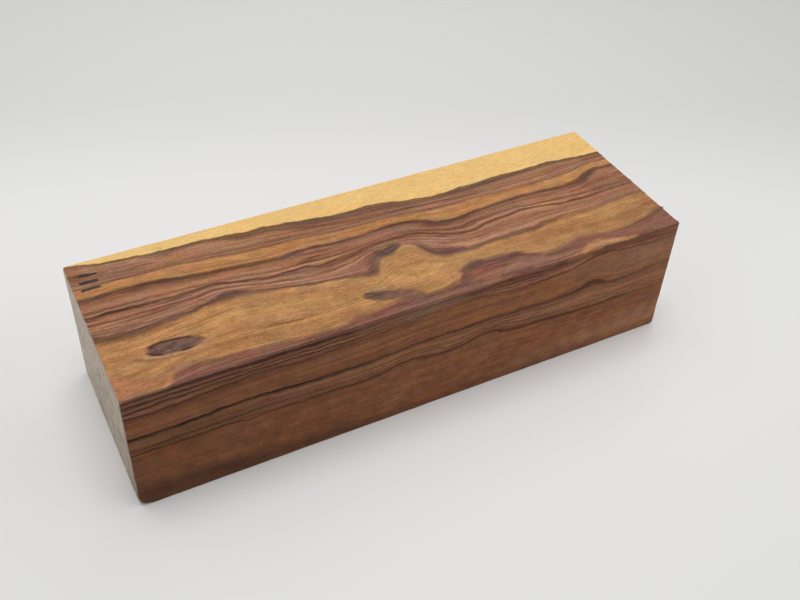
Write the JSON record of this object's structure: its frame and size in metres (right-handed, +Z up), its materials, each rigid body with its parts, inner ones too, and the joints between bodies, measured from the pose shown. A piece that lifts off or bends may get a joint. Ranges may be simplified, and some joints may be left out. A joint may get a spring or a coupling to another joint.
{
  "type": "arizona ironwood block",
  "caption": "Rectangular sawn block of dark, streaky hardwood with a pale sapwood edge, for knife handles, turning and small carved work.",
  "frame": {"origin": "centre of the bottom face, which the block rests on", "axes": "+X along the grain and the length, towards the end where the sapwood is widest; -Y is the front face; +Z up"},
  "size_m": [0.127, 0.041, 0.0306],
  "materials": {
    "ironwood": "sawn, unfinished, end grain sealed with thin wax"
  },
  "bodies": {
    "root": {"ironwood_block": "ironwood"}
  },
  "joints": []
}
